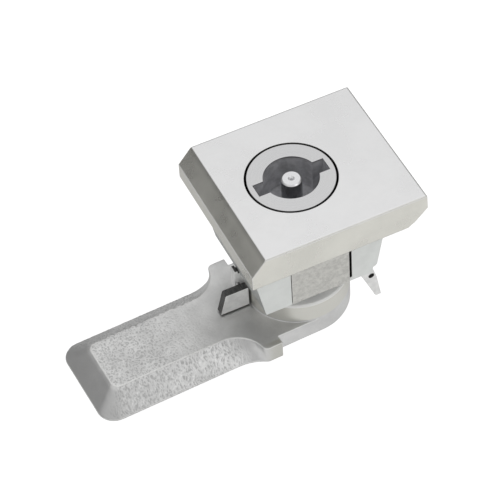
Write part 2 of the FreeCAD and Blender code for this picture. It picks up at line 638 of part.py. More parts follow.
# Cam: round hub, shoulders and a tapered arm with a flat top
def make_cam():
    body = new_body("cam")
    lean = "cam_lean"
    hub = circle(new_sketch(body, "hub_circle", "XY_Plane", "-" + CAM_END), "hub_radius")
    extrude("Pad", body, "hub", hub, "hub_height + cam_thickness")
    web = block(new_sketch(body, "web_outline", "XY_Plane", "-" + CAM_END, lean),
                "-lug_far", "-hub_radius", "0", "hub_radius")
    extrude("Pad", body, "web", web, "cam_thickness")
    base = cam_outline(new_sketch(body, "base_outline", "XY_Plane", "-" + CAM_END, lean),
                       "cam_half", "cam_reach", "cam_corner", "cam_hollow")
    extrude("Pad", body, "base", base, "cam_edge")
    foot = cam_outline(new_sketch(body, "foot_outline", "XY_Plane", "-(%s - cam_edge)" % CAM_END, lean),
                       "cam_half", "cam_reach", "cam_corner", "cam_hollow")
    top = cam_outline(new_sketch(body, "top_outline", "XY_Plane", "-" + CAM_TOP, lean),
                      "cam_top_half", "(cam_reach - cam_end_slope)", "cam_top_corner", "cam_top_hollow")
    arm = body.newObject("PartDesign::AdditiveLoft", "cam_arm")
    arm.Profile = foot
    arm.Sections = [top]
    arm.Ruled = True
    doc.recompute()
    hole_half = "(square_side / 2 + square_play)"
    hole = block(new_sketch(body, "square_hole_outline", "XY_Plane", "-" + HUB_TOP, lean),
                 "-" + hole_half, "-" + hole_half, hole_half, hole_half)
    extrude("Pocket", body, "square_hole", hole, "hub_height + cam_thickness")
    return body


# Spring washer: split ring under the screw's head
def make_spring_washer():
    body = new_body("cam_spring_washer")
    inner = "(bolt_diameter / 2 + ring_play)"
    section = block(new_sketch(body, "section", "XZ_Plane"),
                    inner, "-" + BOLT_SEAT, "spring_diameter / 2", "-(%s + cup_thickness)" % CAM_END)
    turned("Revolution", body, "ring", section, "spring_angle")
    return body


# Cam screw: hexagon screw from below into the spindle
def make_cam_screw():
    head = doc.addObject("Part::Prism", "cam_screw_hexagon")
    head.Polygon = 6
    head.setExpression("Circumradius", bound("bolt_flats / sqrt(3)"))
    head.setExpression("Height", bound("bolt_head"))
    cone = doc.addObject("Part::Cone", "cam_screw_crown")
    cone.setExpression("Radius1", bound("bolt_flats / 2"))
    cone.setExpression("Radius2", bound("bolt_flats / 2 + bolt_head / bolt_head_chamfer"))
    cone.setExpression("Height", bound("bolt_head"))
    for item in (head, cone):
        item.setExpression("Placement.Base.z", bound("-(%s + bolt_head) * 1mm" % BOLT_SEAT))
    crowned = doc.addObject("Part::Common", "cam_screw_head")
    crowned.Base, crowned.Tool = head, cone
    shank = doc.addObject("Part::Cylinder", "cam_screw_shank")
    shank.setExpression("Radius", bound("bolt_diameter / 2"))
    shank.setExpression("Height", bound("cup_thickness + spring_thickness + bolt_engagement"))
    shank.setExpression("Placement.Base.z", bound("-%s * 1mm" % BOLT_SEAT))
    screw = doc.addObject("Part::Fuse", "cam_screw")
    screw.Base, screw.Tool = crowned, shank
    screw.Label = "cam_screw"
    return screw


nodes = [
    make_housing(),
    make_gasket(),
    make_clamp(),
    make_retaining_plate(),
    make_plate_screws(),
    make_key_insert(),
    make_key_pin(),
    make_spindle_seal(),
    make_ring("thrust_washer", "thrust_diameter / 2", JOURNAL + " + ring_play",
              "thrust_thickness", THRUST_TOP),
    make_ring("wave_washer", "wave_diameter / 2", JOURNAL + " + ring_play",
              "wave_thickness", WAVE_TOP),
    make_retaining_ring(),
    make_cam(),
    make_ring("cam_washer", "cup_diameter / 2", "bolt_diameter / 2 + ring_play",
              "cup_thickness", CAM_END),
    make_spring_washer(),
    make_cam_screw(),
]
doc.recompute()

for item in doc.Objects:
    if "Invalid" in item.State or "Error" in item.State:
        raise RuntimeError("%s did not recompute: %s" % (item.Name, item.State))
for node in nodes:
    if node.Shape.isNull() or not node.Shape.isValid():
        raise RuntimeError(node.Label + " has no valid shape")

os.makedirs("parts", exist_ok=True)
for node in nodes:
    node.Shape.exportStep("parts/%s.step" % node.Label)
    box = node.Shape.BoundBox
    print("%-18s solids %d volume %9.1f  x %.2f %.2f  y %.2f %.2f  z %.2f %.2f" % (
        node.Label, len(node.Shape.Solids), node.Shape.Volume,
        box.XMin, box.XMax, box.YMin, box.YMax, box.ZMin, box.ZMax))
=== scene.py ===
import math

import bmesh
import bpy
from bpy.props import FloatProperty, FloatVectorProperty, IntProperty, PointerProperty
from mathutils import Matrix, Vector, noise


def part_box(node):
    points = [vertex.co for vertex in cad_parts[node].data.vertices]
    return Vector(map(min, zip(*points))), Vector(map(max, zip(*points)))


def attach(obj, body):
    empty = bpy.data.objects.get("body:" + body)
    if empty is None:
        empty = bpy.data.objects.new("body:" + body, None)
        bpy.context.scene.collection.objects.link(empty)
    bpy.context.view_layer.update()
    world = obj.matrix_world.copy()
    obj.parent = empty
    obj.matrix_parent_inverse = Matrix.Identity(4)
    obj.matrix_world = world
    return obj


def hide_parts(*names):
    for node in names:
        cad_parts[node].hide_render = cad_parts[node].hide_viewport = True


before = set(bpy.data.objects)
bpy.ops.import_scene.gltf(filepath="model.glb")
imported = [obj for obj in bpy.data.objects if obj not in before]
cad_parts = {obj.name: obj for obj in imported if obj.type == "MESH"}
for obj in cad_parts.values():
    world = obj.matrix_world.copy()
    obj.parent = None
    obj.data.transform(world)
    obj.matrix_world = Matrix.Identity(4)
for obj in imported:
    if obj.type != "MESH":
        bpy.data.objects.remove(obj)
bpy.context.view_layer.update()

bl_info = {
    "name": "Cabinet cam lock",
    "version": (1, 0, 0),
    "blender": (4, 5, 0),
    "location": "View3D > Sidebar > Cam lock",
    "description": "Dresses the cabinet cam lock: rounded edges, metal finishes, cast skin, "
                   "lamps and camera",
    "category": "Add Mesh",
}

MM = 0.001
LOCK_BODY = "lock_body"
ROTOR = "rotor"


def mm(*lengths):
    return tuple(length * MM for length in lengths)


# Bands in which one finish, painted shade or painted light gives way to the next, in metres from
# the middle of the panel's face
HEAD_TOP = mm(8.5, 8.66)
# The next three bands bound the painted shade on the bevel's upper band.
BEVEL_TOP = mm(7.4, 8.5)
BEVEL_SIDE = mm(-14.0, -10.0)
HEAD_FRONT = mm(-19.95, -19.7)
PANEL_FACE = mm(-0.6, -0.2)
BORE_RING = mm(8.0, 11.4)
BORE_MOUTH = mm(8.0, 8.5)
CORE_SLIT = mm(7.35, 7.9)
CORE_FRONT = mm(-13.95, -13.7)
NECK_END = mm(-5.6, -5.2)
SOCKET_MOUTH = mm(7.9, 8.5)
INSERT_WALL = mm(10.0, 10.3)
PIN_END = mm(7.9, 8.05)
CLAMP_GAP = mm(7.3, 8.3)
CLAMP_FRONT = mm(-13.9, -13.6)
CLAMP_SIDE = mm(-14.4, -13.6)
HUB_FACE = mm(-23.5, -23.3)
HUB_WALL = mm(-28.6, -28.1)
HUB_EDGE = mm(13.4, 13.8)
# The next two bands bound the painted shade at the cam's tip.
ARM_TOP = mm(-29.6, -29.0)
TIP_SHADE_BAND = mm(-58.0, -42.0)
LUG_FRONT = mm(-14.6, -13.8)
LUG_WIDTH = mm(-15.0, 12.0)
LUG_FADE = 2.0 * MM

# Mesh clean-up: what is merged, taken as flat, shaded as a crease or taken as a speck
MERGE_DISTANCE = 0.002 * MM
FLAT_ANGLE = math.radians(0.6)
CREASE_ANGLE = math.radians(50)
SPECK = 0.15 * MM
SLIVER = 0.1 * MM

# The outer edges of the head
HEAD_RIM_LOW = -0.5 * MM
HEAD_RIM_REACH = 12.0 * MM

# The retaining plate and its foot
PLATE_LEFT = -13.4 * MM
PLATE_END = -19.95 * MM
FOOT_FRONT = -1.5 * MM
EAR_FRONT = 0.5 * MM
EAR_FOOT = -22.0 * MM
FOOT_OVERLAP = 0.05 * MM
FOOT_OUTLINE = [(-13.4, -22.2), (-13.4, -28.3), (-21.0, -28.3), (-19.4, -22.2)]
EAR_RIGHT = [(-13.3, -18.4), (-13.3, -24.0), (-14.6, -24.0)]
EAR_LEFT = [(-15.6, -24.0), (-15.9, -24.0), (-15.9, -18.1), (-15.6, -17.5), (-14.95, -17.5),
            (-14.8, -18.4)]
EAR_NOTCH, EAR_NOTCH_RADIUS, EAR_NOTCH_STEPS = (-15.1, -22.1), 0.5, 10
FACING_SIDEWAYS = 0.6
FACING_FRONT = 0.55

# The cam: the way its arm points, and the part of it that has a rough skin
CAM_LEAN = math.radians(2.1)
ARM_WAY = Vector((-math.cos(CAM_LEAN), -math.sin(CAM_LEAN), 0.0))
ARM_ACROSS = Vector((math.sin(CAM_LEAN), -math.cos(CAM_LEAN), 0.0))
HUB_RIM_REACH = 10.0 * MM
HUB_RIM_STEPS = 5
HUB_FOOT = mm(-29.0, -28.0)
HUB_FOOT_REACH = 13.2 * MM
HUB_FOOT_STEPS = 3
SKIN_ALONG = mm(16.0, 60.0)
SKIN_ACROSS = mm(-14.0, 14.0)
SKIN_UPWARD = 0.12

# Where the cast skin fades in: by distance along the arm, in millimetres, and by facing
GRAIN_STARTS = (17.0, 40.0)
RIPPLE_STARTS = (17.0, 24.0)
FACING_TOP = (0.85, 0.96)
FACING_FLANK = (0.3, 0.55)
FACING_UP = (0.1, 0.3)
FAINT_GRAIN = 0.2

# Each crackle's share, width along the arm, length across it, length down, shift and sway
GRAIN = ((0.6, 0.5, 0.7, 1.0, 3.0, 1.0), (0.4, 0.34, 0.38, 1.0, 11.0, 0.0))
RIPPLE = ((0.6, 0.46, 1.15, 1.15, 7.0, 1.0), (0.4, 0.36, 0.6, 0.6, 23.0, 1.0))
SWAY, SWAY_LENGTH = 0.8, 2.6
RIDGE_SHARPNESS = 3.2

# Camera axes, solved from the straight edges of the head in the photo
CAMERA_RIGHT = (0.89855462, -0.43630634, -0.04729037)
CAMERA_UP = (0.35917427, 0.6691963, 0.65051529)
CAMERA_BACK = (-0.25217741, -0.601509, 0.75801944)

SENSOR_WIDTH = 36.0
CLIP_START = 0.01

# The floor, and how the world's light changes from back to front and from low to high
FLOOR_SIZE = 3.0
FLOOR_FRONT = (0.04, -0.02)
WORLD_FRONT = (0.0, -0.6)
WORLD_HEIGHT = (0.12, 0.7)

# Name, place, width, height and power of each lamp
LAMPS = (
    ("top_softbox", (0.15, 0.35, 0.85), 0.9, 0.8, 0.5),
    ("front_softbox", (0.35, -0.72, 0.55), 0.5, 0.36, 0.4),
)
LAMP_AIM = (0, 0, -0.01)


# Settings

def colour_setting(name, description, value):
    return FloatVectorProperty(name=name, description=description, default=value,
                               subtype="COLOR", size=3, min=0.0, max=1.0)


def length_setting(name, description, value):
    return FloatProperty(name=name, description=description, default=value,
                         subtype="DISTANCE", unit="LENGTH", min=0.0)


def light_setting(name, description, value):
    return FloatProperty(name=name, description=description, default=value, min=0.0)


class FinishSettings(bpy.types.PropertyGroup):
    """Colours of the lock's finishes, and of the light and shade painted on them."""
    head_colour: colour_setting("Head", "Satin plate of the head", (0.77, 0.77, 0.772))
    # A painted warm reflection of the floor on the head's sides, not a warmer plate.
    side_reflection_colour: colour_setting("Head's sides", "Warmer plate on the head's sides",
                                (0.725, 0.718, 0.665))
    core_colour: colour_setting("Core", "Cast surface of the core behind the panel",
                                (0.60, 0.595, 0.565))
    # Painted shade inside narrow gaps; the dull skin in its description is this painted shade.
    gap_shade_colour: colour_setting("Recess", "Dull skin inside narrow gaps", (0.035, 0.035, 0.033))
    insert_colour: colour_setting("Insert", "Turned face of the key insert", (0.63, 0.63, 0.635))
    socket_colour: colour_setting("Socket", "Walls and floor of the key socket",
                                  (0.60, 0.60, 0.62))
    pin_colour: colour_setting("Key pin", "Ground end of the key pin", (0.80, 0.80, 0.81))
    # Painted shade on the key pin's side.
    pin_side_shade_colour: colour_setting("Key pin's side", "Darker side of the key pin",
                                    (0.30, 0.30, 0.31))
    clamp_colour: colour_setting("Clamp", "Pale plate of the mounting clamp", (0.78, 0.80, 0.78))
    cam_colour: colour_setting("Cam", "Cast metal of the cam", (0.66, 0.66, 0.655))
    # Painted light: the hub's end face, in shade under the core, is made pale to read as lit.
    lit_hub_face_colour: colour_setting("Hub face", "Machined face of the cam's hub",
                                    (0.88, 0.88, 0.86))
    hub_wall_colour: colour_setting("Hub wall", "Cast side wall of the cam's hub",
                                    (0.66, 0.655, 0.61))
    plate_colour: colour_setting("Retaining plate", "Plated faces of the retaining plate",
                                 (0.86, 0.86, 0.85))
    # Partly the dark of the cut edges, partly painted shade on the foot's top.
    cut_shade_colour: colour_setting("Cut edges", "Punched edges of the retaining plate",
                               (0.09, 0.09, 0.088))
    fastener_colour: colour_setting("Fasteners", "Zinc plate of screws and washers",
                                    (0.62, 0.63, 0.64))
    spring_colour: colour_setting("Spring steel", "Oiled spring steel", (0.16, 0.16, 0.16))
    rubber_colour: colour_setting("Rubber", "Moulded rubber", (0.018, 0.018, 0.018))


class DetailSettings(bpy.types.PropertyGroup):
    """Sizes of the fine forms."""
    head_edge: length_setting("Head edge", "Rounding of the head's edges", 0.22 * MM)
    cast_edge: length_setting("Cast edge", "Rounding of the cam's edges", 0.26 * MM)
    clamp_edge: length_setting("Clamp edge", "Rounding of the clamp's edges", 0.14 * MM)
    sheet_edge: length_setting("Plate edge", "Rounding of the retaining plate's edges", 0.16 * MM)
    small_edge: length_setting("Small edge", "Rounding of screws, washers and rings", 0.10 * MM)
    insert_edge: length_setting("Insert edge", "Rounding of the insert's edges", 0.12 * MM)
    rim_edge: length_setting("Hub rim", "Rounding of the hub's rim", 0.5 * MM)
    foot_depth: length_setting("Foot depth", "Thickness of the foot and of the ear behind it",
                               2.2 * MM)
    cast_grain: length_setting("Cast grain", "Depth of the grain on the cam's flat top", 0.08 * MM)
    cast_ripple: length_setting("Cast ripple", "Depth of the ripples on the cam's flanks",
                                0.12 * MM)
    cast_facet: length_setting("Cast facet", "Facet size of the cam's skin", 0.15 * MM)
    rounding_steps: IntProperty(name="Rounding steps", description="Facets across a rounded edge",
                                default=3, min=1, max=6)
    sharp_angle: FloatProperty(name="Sharp angle",
                               description="Edges that turn more than this are rounded",
                               default=math.radians(28), subtype="ANGLE", unit="ROTATION")


class StageSettings(bpy.types.PropertyGroup):
    """Camera, floor and light."""
    camera_place: FloatVectorProperty(name="Camera place", description="Where the camera stands",
                                      default=(-0.1570, -0.3467, 0.4261),
                                      subtype="TRANSLATION", size=3)
    lens: FloatProperty(name="Lens", description="Focal length for a 36 mm sensor",
                        default=175.6, unit="CAMERA")
    floor_height: length_setting("Floor below origin", "Depth of the floor below the panel's face",
                                 0.075)
    floor_colour: colour_setting("Floor", "Plain pale floor", (0.76, 0.76, 0.76))
    horizon_light: light_setting("Horizon light", "Strength of the light from low down", 0.16)
    front_light: light_setting("Front light", "Strength of the low light from the front", 0.55)
    sky_light: light_setting("Sky light", "Strength of the light from overhead", 0.82)
    floor_glow: light_setting("Floor glow", "How far the floor is lifted towards white", 0.56)
    floor_sheen: light_setting("Floor in metal", "The same lift where metal mirrors the floor",
                               0.29)


# Node helpers

class Nodes:
    """A node tree under construction."""

    def __init__(self, tree):
        self.tree = tree

    def add(self, kind, **values):
        node = self.tree.nodes.new(kind)
        for key, value in values.items():
            setattr(node, key, value)
        return node

    def feed(self, socket, value):
        """Give a socket a constant or another node's output."""
        if isinstance(value, bpy.types.NodeSocket):
            self.tree.links.new(value, socket)
        else:
            socket.default_value = value

    def math(self, operation, *values):
        node = self.add("ShaderNodeMath", operation=operation)
        for socket, value in zip(node.inputs, values):
            self.feed(socket, value)
        return node.outputs["Value"]

    def product(self, first, *others):
        for other in others:
            first = self.math("MULTIPLY", first, other)
        return first

    def spread(self, value, low, high, start=0.3, end=0.7, kind="SMOOTHSTEP"):
        """Map a value from start..end to low..high. The usual range suits a noise."""
        node = self.add("ShaderNodeMapRange", interpolation_type=kind)
        for name, part in (("Value", value), ("From Min", start), ("From Max", end),
                           ("To Min", low), ("To Max", high)):
            self.feed(node.inputs[name], part)
        return node.outputs["Result"]

    def above(self, value, band):
        return self.spread(value, 0.0, 1.0, *band)

    def below(self, value, band):
        return self.spread(value, 1.0, 0.0, *band)

    def part(self, vector, name):
        node = self.add("ShaderNodeSeparateXYZ")
        self.feed(node.inputs["Vector"], vector)
        return node.outputs[name]


class Shader(Nodes):
    """A material under construction, with its Principled shader and Object coordinates."""

    def __init__(self, name, colour, metallic, roughness):
        self.material = bpy.data.materials.new(name)
        self.material.use_nodes = True
        super().__init__(self.material.node_tree)
        self.surface = self.tree.nodes["Principled BSDF"]
        self.surface.inputs["Base Color"].default_value = (*colour, 1.0)
        self.surface.inputs["Metallic"].default_value = metallic
        self.surface.inputs["Roughness"].default_value = roughness
        self.place = self.add("ShaderNodeTexCoord").outputs["Object"]
        self.normal = None

    def noise(self, size, detail=4.0, rough=0.55, scale=(1, 1, 1)):
        """Noise whose lumps are about as wide as size, in metres, before they are stretched."""
        mapping = self.add("ShaderNodeMapping")
        self.feed(mapping.inputs["Scale"], scale)
        self.feed(mapping.inputs["Vector"], self.place)
        node = self.add("ShaderNodeTexNoise")
        for name, value in (("Scale", 1.0 / size), ("Detail", detail), ("Roughness", rough),
                            ("Vector", mapping.outputs["Vector"])):
            self.feed(node.inputs[name], value)
        return node.outputs["Fac"]

    def rings(self, pitch):
        """Fine rings about the lock's axis, as a lathe leaves them."""
        node = self.add("ShaderNodeTexNoise", noise_dimensions="1D")
        self.feed(node.inputs["Scale"], 1.0)
        self.feed(node.inputs["Detail"], 5.0)
        self.feed(node.inputs["W"], self.product(self.radius(), 1.0 / pitch))
        return node.outputs["Fac"]

    def attribute(self, name):
        return self.add("ShaderNodeAttribute", attribute_name=name).outputs["Fac"]

    def axis(self, name):
        return self.part(self.place, name)

    def radius(self):
        """Distance from the lock's axis."""
        across = self.product(self.axis("X"), self.axis("X"))
        along = self.product(self.axis("Y"), self.axis("Y"))
        return self.math("SQRT", self.math("ADD", across, along))

    def window(self, value, band, soft=0.05 * MM):
        """1 where the value lies inside the band, with soft ends."""
        low, high = band
        return self.product(self.above(value, (low - soft, low + soft)),
                            self.below(value, (high - soft, high + soft)))

    def blend(self, factor, first, second):
        """Colour between two tones or colour outputs."""
        node = self.add("ShaderNodeMix", data_type="RGBA")
        self.feed(node.inputs["Factor"], factor)
        for socket, value in ((node.inputs["A"], first), (node.inputs["B"], second)):
            tone = value if isinstance(value, bpy.types.NodeSocket) else (*value, 1.0)
            self.feed(socket, tone)
        return node.outputs["Result"]

    def mottled(self, clouds, colour, dark, light):
        """The colour, darker and lighter by turns."""
        return self.blend(self.spread(clouds, 0.0, 1.0), shade(colour, dark), shade(colour, light))

    def worn_and_highlit(self, colour, bright, amount):
        """The colour, brighter on the piece's rounded edges: partly rubbed bare, partly a painted
        highlight.
        """
        return self.blend(self.product(self.attribute("worn_highlit_edge"), amount), colour, bright)

    def colour(self, value):
        self.feed(self.surface.inputs["Base Color"], value)

    def metallic(self, value):
        self.feed(self.surface.inputs["Metallic"], value)

    def rough(self, value):
        self.feed(self.surface.inputs["Roughness"], value)

    def bump(self, height, depth):
        """Relief of a height field whose full swing is depth metres."""
        node = self.add("ShaderNodeBump")
        self.feed(node.inputs["Strength"], 1.0)
        self.feed(node.inputs["Distance"], depth)
        self.feed(node.inputs["Height"], height)
        if self.normal:
            self.feed(node.inputs["Normal"], self.normal)
        self.normal = node.outputs["Normal"]
        self.feed(self.surface.inputs["Normal"], self.normal)


def shade(colour, factor):
    return tuple(min(1.0, part * factor) for part in colour)


# Finishes

def head_finish(finish):
    """Satin plate on the head, with a painted warm reflection on its sides and painted shade on
    the bevel's upper band; cast skin behind the panel's face; painted shade in narrow gaps.
    """
    shader = Shader("satin_chrome", finish.head_colour, 0.92, 0.3)
    clouds = shader.noise(11 * MM, 4.0, 0.6)
    grain = shader.noise(0.2 * MM, 3.0)
    pits = shader.noise(0.9 * MM, 6.0, 0.65)
    height = shader.axis("Z")
    behind = shader.below(height, PANEL_FACE)
    sides = shader.below(height, HEAD_TOP)
    front = shader.axis("Y")
    # The sides take a painted warm reflection; the top stays neutral.
    plated = shader.blend(sides, shader.mottled(clouds, finish.head_colour, 0.95, 1.04),
                          shader.mottled(clouds, finish.side_reflection_colour, 0.93, 1.04))
    # Painted shade on the upper band of the head's left bevel.
    bevel_shade = shader.product(shader.spread(height, 0.0, 0.4, *BEVEL_TOP), sides,
                               shader.below(shader.axis("X"), BEVEL_SIDE),
                               shader.above(front, HEAD_FRONT))
    plated = shader.blend(bevel_shade, plated, shade(finish.side_reflection_colour, 0.5))
    cast = shader.mottled(pits, finish.core_colour, 0.86, 1.12)
    # Rounded edges brighter: rubbed bare and a painted highlight.
    metal = shader.worn_and_highlit(shader.blend(behind, plated, cast), shade(finish.head_colour, 1.12), 0.6)
    # Painted shade in the gap round the key insert and in the slit beside the core.
    bore = shader.product(shader.window(shader.radius(), BORE_RING),
                          shader.below(height, BORE_MOUTH))
    slit = shader.product(shader.window(shader.axis("X"), CORE_SLIT),
                          shader.above(front, CORE_FRONT), shader.below(height, NECK_END))
    shader.colour(shader.blend(shader.math("MAXIMUM", bore, slit), metal, finish.gap_shade_colour))
    shader.rough(shader.math("ADD", shader.spread(clouds, 0.25, 0.33),
                             shader.product(behind, 0.2)))
    shader.bump(grain, 0.002 * MM)
    shader.bump(shader.product(pits, behind), 0.10 * MM)
    return shader.material


def insert_finish(finish):
    """Turned face with circular marks, duller socket below it and painted shade on its outer wall.
    """
    shader = Shader("turned_metal", finish.insert_colour, 1.0, 0.28)
    marks = shader.rings(0.11 * MM)
    stain = shader.noise(2.2 * MM)
    depth = shader.below(shader.axis("Z"), SOCKET_MOUTH)
    metal = shader.blend(depth, shader.mottled(marks, finish.insert_colour, 0.92, 1.06),
                         shader.mottled(stain, finish.socket_colour, 0.75, 1.15))
    # Painted shade on the insert's outer wall, down in its gap.
    wall = shader.product(shader.above(shader.radius(), INSERT_WALL), depth)
    shader.colour(shader.blend(wall, metal, finish.gap_shade_colour))
    shader.metallic(shader.math("SUBTRACT", 1.0, shader.product(depth, 0.45)))
    shader.rough(shader.math("ADD", shader.spread(marks, 0.24, 0.34),
                             shader.product(depth, 0.12)))
    shader.bump(marks, 0.006 * MM)
    return shader.material


def pin_finish(finish):
    """Ground end with circular marks, and painted shade on its side."""
    shader = Shader("bright_pin", finish.pin_colour, 1.0, 0.22)
    marks = shader.rings(0.08 * MM)
    end = shader.blend(marks, shade(finish.pin_colour, 0.82), finish.pin_colour)
    # Painted shade on the pin's side, below its end.
    shader.colour(shader.blend(shader.below(shader.axis("Z"), PIN_END), end,
                               finish.pin_side_shade_colour))
    shader.rough(shader.spread(marks, 0.18, 0.3))
    shader.bump(marks, 0.004 * MM)
    return shader.material


def clamp_finish(finish):
    """Pale plate, its edges rubbed bare and painted as highlights, with painted shade on the left
    side and in the slit.
    """
    shader = Shader("pale_zinc", finish.clamp_colour, 0.55, 0.42)
    clouds = shader.noise(5 * MM)
    grain = shader.noise(0.3 * MM, 3.0)
    inside = shader.above(shader.axis("Y"), CLAMP_FRONT)
    pale = shader.mottled(clouds, finish.clamp_colour, 0.95, 1.04)
    # Rounded edges brighter: rubbed bare and a painted highlight.
    pale = shader.worn_and_highlit(pale, shade(finish.clamp_colour, 1.1), 0.7)
    # Painted shade on the clamp's left side.
    side = shader.product(shader.spread(shader.axis("X"), 0.6, 0.0, *CLAMP_SIDE), inside)
    pale = shader.blend(side, pale, shade(finish.clamp_colour, 0.4))
    # Painted shade in the slit between the clamp and the core.
    gap = shader.product(shader.window(shader.axis("X"), CLAMP_GAP), inside)
    shader.colour(shader.blend(gap, pale, finish.gap_shade_colour))
    shader.rough(shader.spread(clouds, 0.38, 0.48))
    shader.bump(grain, 0.008 * MM)
    return shader.material


def cam_finish(finish):
    """Cast skin with painted shade in its furrows and painted glints on its ridges, painted shade
    at its tip, edges rubbed bare and painted as highlights, and a hub face painted as lit.
    """
    shader = Shader("cast_zinc", finish.cam_colour, 0.85, 0.36)
    clouds = shader.noise(7 * MM, 5.0, 0.6)
    grain = shader.noise(0.25 * MM, 4.0, 0.7)
    relief = shader.attribute("relief")
    height = shader.axis("Z")
    cast = shader.mottled(clouds, finish.cam_colour, 0.88, 1.06)
    # Painted shade in the skin's furrows and painted glints on its ridges.
    cast = shader.blend(shader.spread(relief, 0.65, 0.0, 0.0, 0.45), cast,
                        shade(finish.cam_colour, 0.48))
    cast = shader.blend(shader.spread(relief, 0.0, 0.5, 0.6, 1.0), cast,
                        shade(finish.cam_colour, 1.45))
    wall = shader.product(shader.above(height, HUB_WALL), shader.below(shader.radius(), HUB_EDGE))
    cast = shader.blend(wall, cast, finish.hub_wall_colour)
    # Painted shade towards the cam's tip, on the faces below its flat top.
    tip_shade = shader.product(shader.spread(shader.axis("X"), 0.6, 0.0, *TIP_SHADE_BAND),
                         shader.below(height, ARM_TOP))
    cast = shader.blend(tip_shade, cast, shade(finish.cam_colour, 0.62))
    lug = shader.product(shader.below(shader.axis("Y"), LUG_FRONT),
                         shader.window(shader.axis("X"), LUG_WIDTH, LUG_FADE))
    cast = shader.blend(lug, cast, shade(finish.hub_wall_colour, 0.86))
    # Rounded edges brighter: rubbed bare and a painted highlight.
    cast = shader.worn_and_highlit(cast, finish.lit_hub_face_colour, 0.5)
    # Painted light on the hub's end face: pale and less metallic, so it reads as lit under the
    # core.
    face = shader.above(height, HUB_FACE)
    shader.colour(shader.blend(face, cast, finish.lit_hub_face_colour))
    shader.metallic(shader.math("SUBTRACT", 0.85, shader.product(face, 0.7)))
    shader.rough(shader.math("SUBTRACT", shader.spread(grain, 0.32, 0.44),
                             shader.spread(relief, 0.0, 0.1, 0.6, 0.95)))
    shader.bump(grain, 0.014 * MM)
    return shader.material


def plate_finish(finish):
    """Plated sheet with dark punched edges; the dark is partly the cut edge and partly painted
    shade.
    """
    shader = Shader("plated_sheet", finish.plate_colour, 0.45, 0.38)
    clouds = shader.noise(2.5 * MM)
    grain = shader.noise(0.18 * MM, 2.0)
    tears = shader.noise(0.25 * MM, 3.0, scale=(1.0, 0.15, 1.0))
    # The cut edges' dark colour, partly painted shade.
    edge = shader.attribute("punched_shaded_edge")
    shader.colour(shader.blend(edge, shader.mottled(clouds, finish.plate_colour, 0.9, 1.08),
                               shader.mottled(tears, finish.cut_shade_colour, 0.6, 1.4)))
    shader.rough(shader.math("ADD", shader.spread(clouds, 0.3, 0.4), shader.product(edge, 0.12)))
    shader.bump(grain, 0.006 * MM)
    shader.bump(shader.product(tears, edge), 0.05 * MM)
    return shader.material


def plated_finish(name, colour, roughness):
    """Plated or oiled steel of the small parts."""
    shader = Shader(name, colour, 0.9, roughness[0])
    clouds = shader.noise(2.5 * MM)
    grain = shader.noise(0.18 * MM, 2.0)
    shader.colour(shader.mottled(clouds, colour, 0.88, 1.08))
    shader.rough(shader.spread(clouds, *roughness))
    shader.bump(grain, 0.006 * MM)
    return shader.material


def rubber_finish(finish):
    """Moulded rubber with a fine grain."""
    shader = Shader("black_rubber", finish.rubber_colour, 0.0, 0.6)
    grain = shader.noise(0.25 * MM, 3.0)
    shader.colour(shader.blend(grain, shade(finish.rubber_colour, 0.8),
                               shade(finish.rubber_colour, 1.5)))
    shader.rough(shader.spread(grain, 0.5, 0.7))
    shader.bump(grain, 0.02 * MM)
    return shader.material


# Mesh helpers

def finish_piece(name, bm, body, material, even=True):
    """Make an object of the mesh, smooth it and let it ride on its body."""
    mesh = bpy.data.meshes.new(name)
    for face in bm.faces:
        face.smooth = True
    for edge in bm.edges:
        if len(edge.link_faces) == 2 and edge.calc_face_angle(0.0) > CREASE_ANGLE:
            edge.smooth = False
    bm.to_mesh(mesh)
    bm.free()
    piece = bpy.data.objects.new(name, mesh)
    bpy.context.scene.collection.objects.link(piece)
    mesh.materials.append(material)
    if even:
        modifier = piece.modifiers.new("even_faces", "WEIGHTED_NORMAL")
        modifier.mode = "FACE_AREA"
        modifier.keep_sharp = True
    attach(piece, body)
    return piece


def merged_copy(node):
    """The node's mesh with its loose triangles joined into flat faces."""
    bm = bmesh.new()
    bm.from_mesh(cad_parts[node].data)
    bmesh.ops.remove_doubles(bm, verts=bm.verts, dist=MERGE_DISTANCE)
    bmesh.ops.dissolve_limit(bm, angle_limit=FLAT_ANGLE, verts=bm.verts, edges=bm.edges,
                             delimit={"NORMAL"})
    bmesh.ops.recalc_face_normals(bm, faces=bm.faces)
    return bm


def round_edges(bm, width, steps, angle, only=None, clamp=False):
    """Round the outward edges that turn by more than the angle, and mark them for the worn edges'
    colour and painted highlight.
    """
    worn_and_highlit = bm.verts.layers.float.get("worn_highlit_edge") or bm.verts.layers.float.new("worn_highlit_edge")
    sharp = [edge for edge in bm.edges
             if len(edge.link_faces) == 2 and edge.is_convex and edge.calc_face_angle(0.0) > angle
             and (not only or only(edge))]
    made = bmesh.ops.bevel(bm, geom=sharp, offset=width, offset_type="OFFSET", segments=steps,
                           profile=0.5, affect="EDGES", clamp_overlap=clamp, material=-1)
    rounded = set(made["faces"])
    for vert in made["verts"]:
        if all(face in rounded for face in vert.link_faces):
            vert[worn_and_highlit] = 1.0


def rounded_node(node, width, material, body, detail, clamp=False):
    """The node with rounded edges, in place of the plain one."""
    bm = merged_copy(node)
    round_edges(bm, width, detail.rounding_steps, detail.sharp_angle, clamp=clamp)
    piece = finish_piece(node + "_finished", bm, body, material)
    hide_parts(node)


def on_head_rim(edge):
    """Whether the edge belongs to the outer edges of the head, in front of the panel."""
    return all(vert.co.z > HEAD_RIM_LOW and max(abs(vert.co.x), abs(vert.co.y)) > HEAD_RIM_REACH
               for vert in edge.verts)


def on_hub_rim(edge, top):
    """Whether the edge belongs to the outer edge of the hub's end face."""
    return all(vert.co.z > top - 0.01 * MM and vert.co.xy.length > HUB_RIM_REACH
               for vert in edge.verts)


